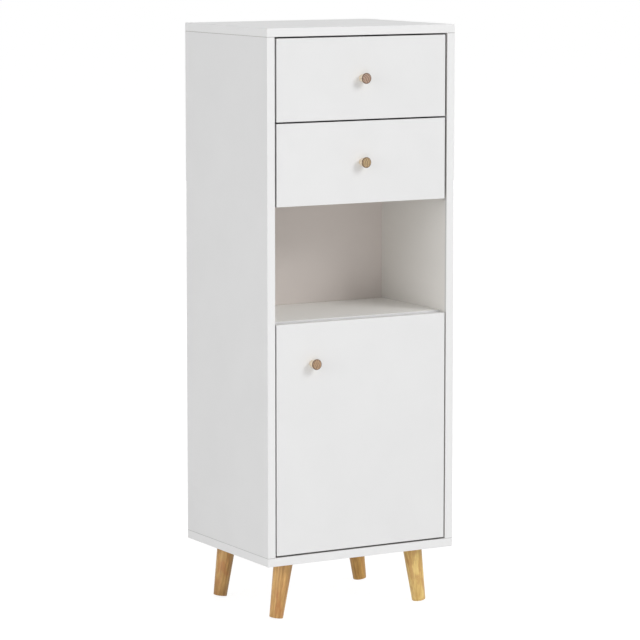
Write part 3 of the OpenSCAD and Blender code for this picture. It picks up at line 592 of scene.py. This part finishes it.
def dowel_wood():
    """Plain beech with its grain along X"""
    f = Finish("beech_dowel", specular_ior_level=0.4)
    grain = f.noise(f.stretched(f.place, (0.06, 1.0, 1.0)), BEECH_GRAIN, detail=3.0, roughness=0.6)
    f.set("Base Color", f.mix(grain, linear(BEECH_LIGHT), linear(BEECH_DARK)))
    f.set("Roughness", f.between(grain, 0.55, 0.7))
    f.set("Normal", f.bump(grain, BEECH_RELIEF))
    return f


dress("wood_dowels", dowel_wood())


# Metal and plastic
METAL_GRAIN = 0.5 * MM
METAL_CLOUD = 12 * MM
METAL_RELIEF = 0.01 * MM
METAL_DIM = 0.9             # the darkest metal's colour as a part of the lightest
METAL_SPREAD = 0.07         # how far its roughness strays to either side
PLASTIC_CLOUD = 25 * MM
PLASTIC_RELIEF = 0.02 * MM
PLASTIC_DARKER = 7          # how much darker the plastic's clouds get, in sRGB levels
PLASTIC_SPREAD = 0.05


def metal(name, colour, roughness, grain):
    """Plated steel: a fine grain in its roughness and relief, and slight clouds in its colour"""
    f = Finish(name, metallic=1.0)
    fine = f.noise(f.stretched(f.place, grain), METAL_GRAIN, detail=3.0, roughness=0.6)
    dim = tuple(c * METAL_DIM for c in colour)
    f.set("Base Color", f.mix(f.noise(f.place, METAL_CLOUD), linear(dim), linear(colour)))
    f.set("Roughness", f.between(fine, roughness - METAL_SPREAD, roughness + METAL_SPREAD))
    f.set("Normal", f.bump(fine, METAL_RELIEF))
    return f


def coated(name, colour, roughness, pebble):
    """Powder coat or moulded plastic: an even colour with a fine pebbled skin"""
    f = Finish(name, specular_ior_level=0.5)
    skin = f.noise(f.place, pebble)
    dim = tuple(c - PLASTIC_DARKER for c in colour)
    f.set("Base Color", f.mix(f.noise(f.place, PLASTIC_CLOUD), linear(dim), linear(colour)))
    f.set("Roughness", f.between(skin, roughness - PLASTIC_SPREAD, roughness + PLASTIC_SPREAD))
    f.set("Normal", f.bump(skin, PLASTIC_RELIEF))
    return f


zinc = metal("bright_zinc", (208, 210, 214), roughness=0.34, grain=(1.0, 1.0, 1.0))
nickel = metal("hinge_nickel", (216, 214, 208), roughness=0.26, grain=(1.0, 1.0, 0.1))
pressed = metal("plate_zinc", (196, 198, 202), roughness=0.42, grain=(0.1, 1.0, 1.0))
enamel = coated("runner_enamel", (228, 228, 224), roughness=0.38, pebble=0.8 * MM)
nylon = coated("roller_nylon", (232, 231, 226), roughness=0.48, pebble=1.2 * MM)
soft_plastic = coated("buffer_plastic", (214, 217, 218), roughness=0.3, pebble=1.0 * MM)
ZINC_PARTS = ("shelf_pins", "cam_locks", "cam_bolts", "leg_bolts", "leg_plate_screws", "runner_screws",
              "hinge_plate_screws", "door_knob_screw", "hinge_cup_screws", "hinge_pins")
HARDWARE = {part: zinc for part in ZINC_PARTS}
HARDWARE["leg_plates"] = pressed
for part in ("hinge_plates", "hinge_arms", "hinge_cups"):
    HARDWARE[part] = nickel
HARDWARE["cabinet_runners"] = enamel
HARDWARE["door_buffers"] = soft_plastic
for drawer in ("upper", "lower"):
    for part in ("knob_screw", "cams", "bolts", "screws"):
        HARDWARE[f"{drawer}_drawer_{part}"] = zinc
    HARDWARE[drawer + "_drawer_runners"] = enamel
    HARDWARE[drawer + "_front_rollers"] = nylon
    HARDWARE[drawer + "_rear_rollers"] = nylon
for name, finish in HARDWARE.items():
    dress(name, finish)


# Floor and surroundings
FLOOR_SIZE = 120.0
FLOOR_SEEN = 0.25           # how much of the floor's light seen by the camera depends on shadow
FLOOR_BOUNCE = (225, 225, 225)
SKY = 0.48                  # even light from all round
PURE_WHITE = (1.0, 1.0, 1.0, 1.0)
SENSOR_WIDTH = 36.0         # in millimetres, as the lens is


def seen_directly(nodes, links):
    """1 for what the camera sees, also in a mirror or through glass, and 0 for light that only bounces"""
    path = nodes.new("ShaderNodeLightPath")
    total = path.outputs["Is Camera Ray"]
    for name in ("Is Glossy Ray", "Is Transmission Ray"):
        highest = nodes.new("ShaderNodeMath")
        highest.operation = "MAXIMUM"
        links.new(total, highest.inputs[0])
        links.new(path.outputs[name], highest.inputs[1])
        total = highest.outputs[0]
    return total


def floor_material():
    """Pale grey to light that bounces; to the camera, white but for the object's faint shadow"""
    material = bpy.data.materials.new("pale_floor")
    material.use_nodes = True
    nodes, links = material.node_tree.nodes, material.node_tree.links
    nodes.clear()
    bounce = nodes.new("ShaderNodeBsdfDiffuse")
    bounce.inputs["Color"].default_value = linear(FLOOR_BOUNCE)
    shaded = nodes.new("ShaderNodeBsdfDiffuse")
    shaded.inputs["Color"].default_value = (FLOOR_SEEN, FLOOR_SEEN, FLOOR_SEEN, 1.0)
    glow = nodes.new("ShaderNodeEmission")
    glow.inputs["Strength"].default_value = 1 - FLOOR_SEEN * SKY
    both = nodes.new("ShaderNodeAddShader")
    links.new(shaded.outputs[0], both.inputs[0])
    links.new(glow.outputs[0], both.inputs[1])
    choice = nodes.new("ShaderNodeMixShader")
    links.new(seen_directly(nodes, links), choice.inputs[0])
    links.new(bounce.outputs[0], choice.inputs[1])
    links.new(both.outputs[0], choice.inputs[2])
    output = nodes.new("ShaderNodeOutputMaterial")
    links.new(choice.outputs[0], output.inputs["Surface"])
    return material


def add_floor():
    """A large flat floor, which isn't part of the object"""
    half = FLOOR_SIZE / 2
    mesh = bpy.data.meshes.new("floor")
    corners = [(-half, -half, 0), (half, -half, 0), (half, half, 0), (-half, half, 0)]
    mesh.from_pydata(corners, [], [(0, 1, 2, 3)])
    floor = bpy.data.objects.new("floor", mesh)
    floor.data.materials.append(floor_material())
    bpy.context.scene.collection.objects.link(floor)


def set_world():
    """Even light from all round, in front of a white background"""
    world = bpy.data.worlds.new("studio")
    world.use_nodes = True
    nodes, links = world.node_tree.nodes, world.node_tree.links
    nodes.clear()
    light = nodes.new("ShaderNodeBackground")
    light.inputs["Strength"].default_value = SKY
    white = nodes.new("ShaderNodeBackground")
    for background in (light, white):
        background.inputs["Color"].default_value = PURE_WHITE
    choice = nodes.new("ShaderNodeMixShader")
    links.new(seen_directly(nodes, links), choice.inputs[0])
    links.new(light.outputs[0], choice.inputs[1])
    links.new(white.outputs[0], choice.inputs[2])
    output = nodes.new("ShaderNodeOutputWorld")
    links.new(choice.outputs[0], output.inputs["Surface"])
    bpy.context.scene.world = world


def add_lamp(name, direction, distance, size, watts):
    """A soft lamp that faces the middle of the object, seen from it in the given direction. Its size is its
    width and its height. The camera doesn't see it."""
    low, high = CAD_BOX
    middle = (low + high) / 2
    lamp = bpy.data.lights.new(name, "AREA")
    lamp.shape = "RECTANGLE"
    lamp.size, lamp.size_y = size
    lamp.energy = watts
    holder = bpy.data.objects.new(name, lamp)
    holder.location = middle + Vector(direction).normalized() * distance
    holder.rotation_euler = (middle - holder.location).to_track_quat("-Z", "Y").to_euler()
    holder.visible_camera = False
    bpy.context.scene.collection.objects.link(holder)
    return holder


def add_camera(azimuth, pitch, distance, sideways, height, lens):
    """A camera that looks along an azimuth, pitched down by some degrees. It stands at a distance from the
    vertical line through the body's middle, moved sideways, at a height above the floor."""
    low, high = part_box("top_panel")
    middle = (low + high) / 2
    azimuth, pitch = math.radians(azimuth), math.radians(pitch)
    ahead = Vector((math.sin(azimuth), math.cos(azimuth), 0))
    right = Vector((math.cos(azimuth), -math.sin(azimuth), 0))
    data = bpy.data.cameras.new("camera")
    data.lens = lens
    data.sensor_width = SENSOR_WIDTH
    camera = bpy.data.objects.new("camera", data)
    camera.location = Vector((middle.x, middle.y, height)) - ahead * distance + right * sideways
    look = ahead * math.cos(pitch) - Vector((0, 0, math.sin(pitch)))
    camera.rotation_euler = look.to_track_quat("-Z", "Y").to_euler()
    bpy.context.scene.collection.objects.link(camera)
    bpy.context.scene.camera = camera


add_floor()
set_world()
add_lamp("key", direction=(0.58, -1.0, 0.72), distance=9.0, size=(4.0, 4.0), watts=296)
add_lamp("fill", direction=(-1.0, -0.3, 0.15), distance=8.0, size=(5.0, 5.0), watts=195)
add_lamp("low", direction=(-0.5, -1.0, -0.12), distance=2.2, size=(1.3, 0.6), watts=4.7)
rear = add_lamp("rear", direction=(0.5, 1.0, 0.15), distance=9.0, size=(4.0, 4.0), watts=260)
rear.visible_glossy = False     # or the top would mirror it
add_camera(azimuth=29.857, pitch=7.542, distance=5.9473, sideways=0.0017, height=1.3261, lens=177.71)
bpy.context.scene.view_settings.view_transform = "Standard"
